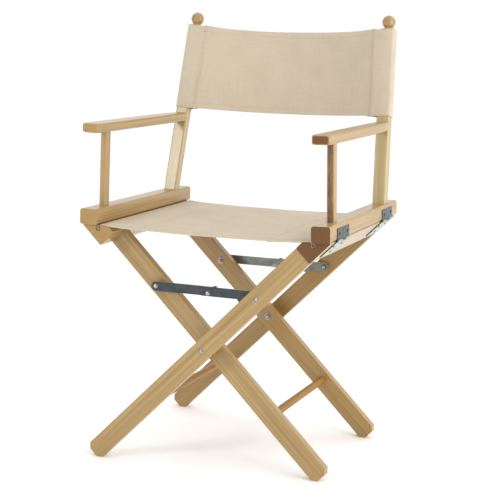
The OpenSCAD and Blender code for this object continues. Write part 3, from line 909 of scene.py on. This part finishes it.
def back_sleeve(side, cut, place):
    line = sleeve_line(cut)
    normals = -line_normals(line)
    profile = hemmed(BACK_LOW, BACK_HIGH, cut, steps=30)
    across, along = travelled(line), travelled(profile)
    depth = profile[None, :, 1]
    height = np.broadcast_to(profile[:, 0], (len(line), len(profile)))
    x = line[:, 0][:, None] + normals[:, 0][:, None] * depth
    y = line[:, 1][:, None] + normals[:, 1][:, None] * depth
    # slight waves on the front layer, strongest halfway from the seam to the post
    front = np.clip(1 - np.abs(line[:, 0] + 0.019) / 0.009, 0, 1) * (line[:, 1] < -0.006)
    y = y - 0.0005 * front[:, None] * np.sin(height * 85 + side)
    grid = moved(np.stack([x, y, height], axis=2), place)
    if side == LEFT:
        grid = (grid * (-1, 1, 1))[:, ::-1]
        along = along[::-1]
    return cloth_piece(f"back_sleeve_{SIDES[side]}", grid, across, along, cut.cloth)


class BackSurface:
    """The back's face between its seams, in a frame that leans with the posts."""

    def __init__(self, cut, place):
        look = ask("chair_wood")
        self.cut = cut
        foot = place @ Vector((0, 0, 0))
        self.lean = Matrix.Translation((0, foot.y, foot.z)) @ Matrix.Rotation(-look.post_lean, 4, "X")
        ends = [place @ Vector((-cut.seam, 0, h)) for h in (BACK_LOW, BACK_HIGH)]
        self.reach = [end.x for end in ends]

    def at(self, share, height, lift=0.0):
        """Points at share, from -1 to 1 across, and at a height up the posts."""
        cut = self.cut
        up = (height - BACK_LOW) / (BACK_HIGH - BACK_LOW)
        reach = self.reach[0] + (self.reach[1] - self.reach[0]) * up
        inside = np.clip(1 - share**2, 0, 1)
        # each wave is its height in metres times its shape
        bow = cut.bow * inside + 0.0009 * inside * np.sin(height * 47 + share * 2.1)
        near = np.exp(-(1 - np.abs(share)).clip(0) / 0.12) * inside
        pucker = 0.0022 * near * np.sin(height * 70 + 2.2 * np.sign(share) + share * 3)
        curl = 0.0012 * np.clip((up - 0.93) / 0.07, 0, 1) ** 2 * inside
        flow = 0.0011 * inside * np.sin(share * 5 + height * 24 + 0.6)
        y = bow + pucker + curl + flow - PANEL_FRONT - lift
        dip = cut.dip * np.clip(1 - np.abs(share) ** 5, 0, 1) * np.clip(up, 0, 1) ** 3
        return moved(np.stack([share * reach, y, height - dip], axis=-1), self.lean)


def back_panel(cut, surface):
    past_seams = 1.03
    columns = np.linspace(-past_seams, past_seams, 72)
    profile = hemmed(BACK_LOW, BACK_HIGH, cut, steps=36)
    share, height = np.meshgrid(columns, profile[:, 0], indexing="ij")
    grid = surface.at(share, height, profile[None, :, 1])
    across = travelled(grid[:, len(profile) // 2])
    return cloth_piece("back_panel", grid, across, travelled(profile), cut.cloth)


class CHAIR_OT_back(bpy.types.Operator):
    """Makes the canvas back with its sleeves, hems and stitches"""

    bl_idname = "chair.back"
    bl_label = "Back"

    def execute(self, context):
        cut = ask("chair_cut")
        place = post_frame()
        surface = BackSurface(cut, place)
        panel = back_panel(cut, surface)
        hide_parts("back_canvas")
        shares = np.linspace(-0.985, 0.985, 120)
        tall = BACK_HIGH - BACK_LOW + 2 * cut.hem
        rim = cut.hem - HEM_SEAM
        lift = thread_lift(cut)
        rows = [surface.at(shares, height, lift) for height in (BACK_LOW + rim, BACK_HIGH - rim)]
        hems = sew("back_hem_stitches", rows)
        anchor = surface.at(np.array(1.0), np.array(BACK_LOW))
        for piece in (panel, hems):
            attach(piece, "right_arm")
            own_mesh(piece)
        middle_height = 0.26
        flat = (travelled(surface.at(shares, middle_height))[-1], tall)

        flat = (travelled(sleeve_line(cut))[-1], tall)
        heights = np.linspace(BACK_LOW + HEM_SEAM, BACK_HIGH - HEM_SEAM, 90)
        for side, name in SIDES.items():
            sleeve = back_sleeve(side, cut, place)
            x, y = SEWN - cut.seam, -SEAM_FRONT - FRONT_SLOPE * SEWN - lift
            row = np.array([(x, y, height) for height in heights])
            stitches = sew(f"sleeve_stitches_{name}", [moved(row, place) * (side, 1, 1)])
            for piece in (sleeve, stitches):
                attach(piece, f"{name}_arm")
        return {"FINISHED"}


# ---- studio


# each light's place, the point it aims at, the length of its sides and its tint
LIGHTS = {
    "key": ((2.6, -0.7, 1.3), (0, 0, 0.45), 2.2, (1, 0.985, 0.96)),
    "front": ((-1.5, -2.4, 1.45), (0, 0.1, 0.65), 0.7, (1, 1, 1)),
}


def studio_camera(look):
    """Looks at the chair from the front, turned towards the sitter's left."""
    back = Vector((sin(look.turn) * cos(look.rise), -cos(look.turn) * cos(look.rise), sin(look.rise)))
    right = Vector((cos(look.turn), sin(look.turn), 0))
    up = back.cross(right)
    level = right * cos(look.roll) + up * sin(look.roll)
    tilted = up * cos(look.roll) - right * sin(look.roll)
    axes = Matrix((level, tilted, back)).transposed().to_4x4()
    target = Vector((look.look_x, look.look_y, look.look_z))
    data = bpy.data.cameras.new("camera")
    data.lens = look.lens
    data.sensor_width = 36
    data.clip_end = 30
    camera = bpy.data.objects.new("camera", data)
    camera.matrix_world = Matrix.Translation(target + back * look.distance) @ axes
    bpy.context.scene.collection.objects.link(camera)
    bpy.context.scene.camera = camera


def soft_light(name, place, aim, side, power, tint):
    data = bpy.data.lights.new(name, "AREA")
    data.shape = "SQUARE"
    data.size = side
    data.energy = power
    data.color = tint
    light = bpy.data.objects.new(name, data)
    light.location = place
    light.rotation_euler = (Vector(place) - Vector(aim)).to_track_quat("Z", "Y").to_euler()
    bpy.context.scene.collection.objects.link(light)


def studio_floor(look):
    made = Finish("floor")
    where = made.out(made.node("ShaderNodeTexCoord"), "Object")
    tone = made.noise(where, 3.0, 2.0) * 0.01
    darker = [0.99 * share for share in look.floor]
    material = made.done(Base_Color=made.mix(tone, look.floor, darker), Roughness=0.9)
    mesh = bpy.data.meshes.new("floor")
    half = 14
    corners = [(-half, -half, 0), (half, -half, 0), (half, half, 0), (-half, half, 0)]
    mesh.from_pydata(corners, [], [(0, 1, 2, 3)])
    mesh.materials.append(material)
    floor = bpy.data.objects.new("floor", mesh)
    bpy.context.scene.collection.objects.link(floor)


def studio_room(look):
    """A white room that is brighter overhead and behind the chair than in front of it."""
    world = bpy.data.worlds.new("room")
    world.use_nodes = True
    tree = world.node_tree
    facing = tree.nodes.new("ShaderNodeTexCoord")
    parts = tree.nodes.new("ShaderNodeSeparateXYZ")
    tree.links.new(facing.outputs["Generated"], parts.inputs[0])
    behind = Field(tree, parts.outputs["Y"]).between(0.0, 0.5)
    overhead = Field(tree, parts.outputs["Z"]).between(0.35, 0.95)
    strength = behind * (look.sky - look.shade) + overhead * look.above + look.shade
    join(tree, tree.nodes["Background"].inputs["Strength"], strength)
    tree.nodes["Background"].inputs["Color"].default_value = (1, 1, 1, 1)
    return world


class CHAIR_OT_studio(bpy.types.Operator):
    """Sets up the floor, the lights and the camera"""

    bl_idname = "chair.studio"
    bl_label = "Studio"

    def execute(self, context):
        look = ask("chair_studio")
        studio_camera(look)
        studio_floor(look)
        for name, (place, aim, side, tint) in LIGHTS.items():
            soft_light(name, place, aim, side, getattr(look, name), tint)
        context.scene.world = studio_room(look)
        context.scene.view_settings.view_transform = "Standard"
        return {"FINISHED"}


# ---- add-on


class CHAIR_PT_panel(bpy.types.Panel):
    """Lists the chair's sizes, colours and makers"""

    bl_idname = "CHAIR_PT_panel"
    bl_label = "Folding director's chair"
    bl_space_type = "VIEW_3D"
    bl_region_type = "UI"
    bl_category = "Chair"

    def draw(self, context):
        for maker in MAKERS:
            self.layout.operator(maker.bl_idname)
        for key, group in GROUPS.items():
            box = self.layout.box()
            box.label(text=group.__doc__)
            for name in group.__annotations__:
                box.prop(getattr(context.scene, key), name)


MAKERS = (CHAIR_OT_wood, CHAIR_OT_steel, CHAIR_OT_seat, CHAIR_OT_back, CHAIR_OT_studio)


def register():
    for made in (*GROUPS.values(), *MAKERS, CHAIR_PT_panel):
        bpy.utils.register_class(made)
    for key, group in GROUPS.items():
        setattr(bpy.types.Scene, key, PointerProperty(type=group))


def unregister():
    for key in GROUPS:
        delattr(bpy.types.Scene, key)
    for made in reversed((*GROUPS.values(), *MAKERS, CHAIR_PT_panel)):
        bpy.utils.unregister_class(made)


def main():
    register()
    bpy.ops.chair.wood()
    bpy.ops.chair.steel()
    bpy.ops.chair.seat()
    bpy.ops.chair.back()
    bpy.ops.chair.studio()


if __name__ == "__main__":
    main()
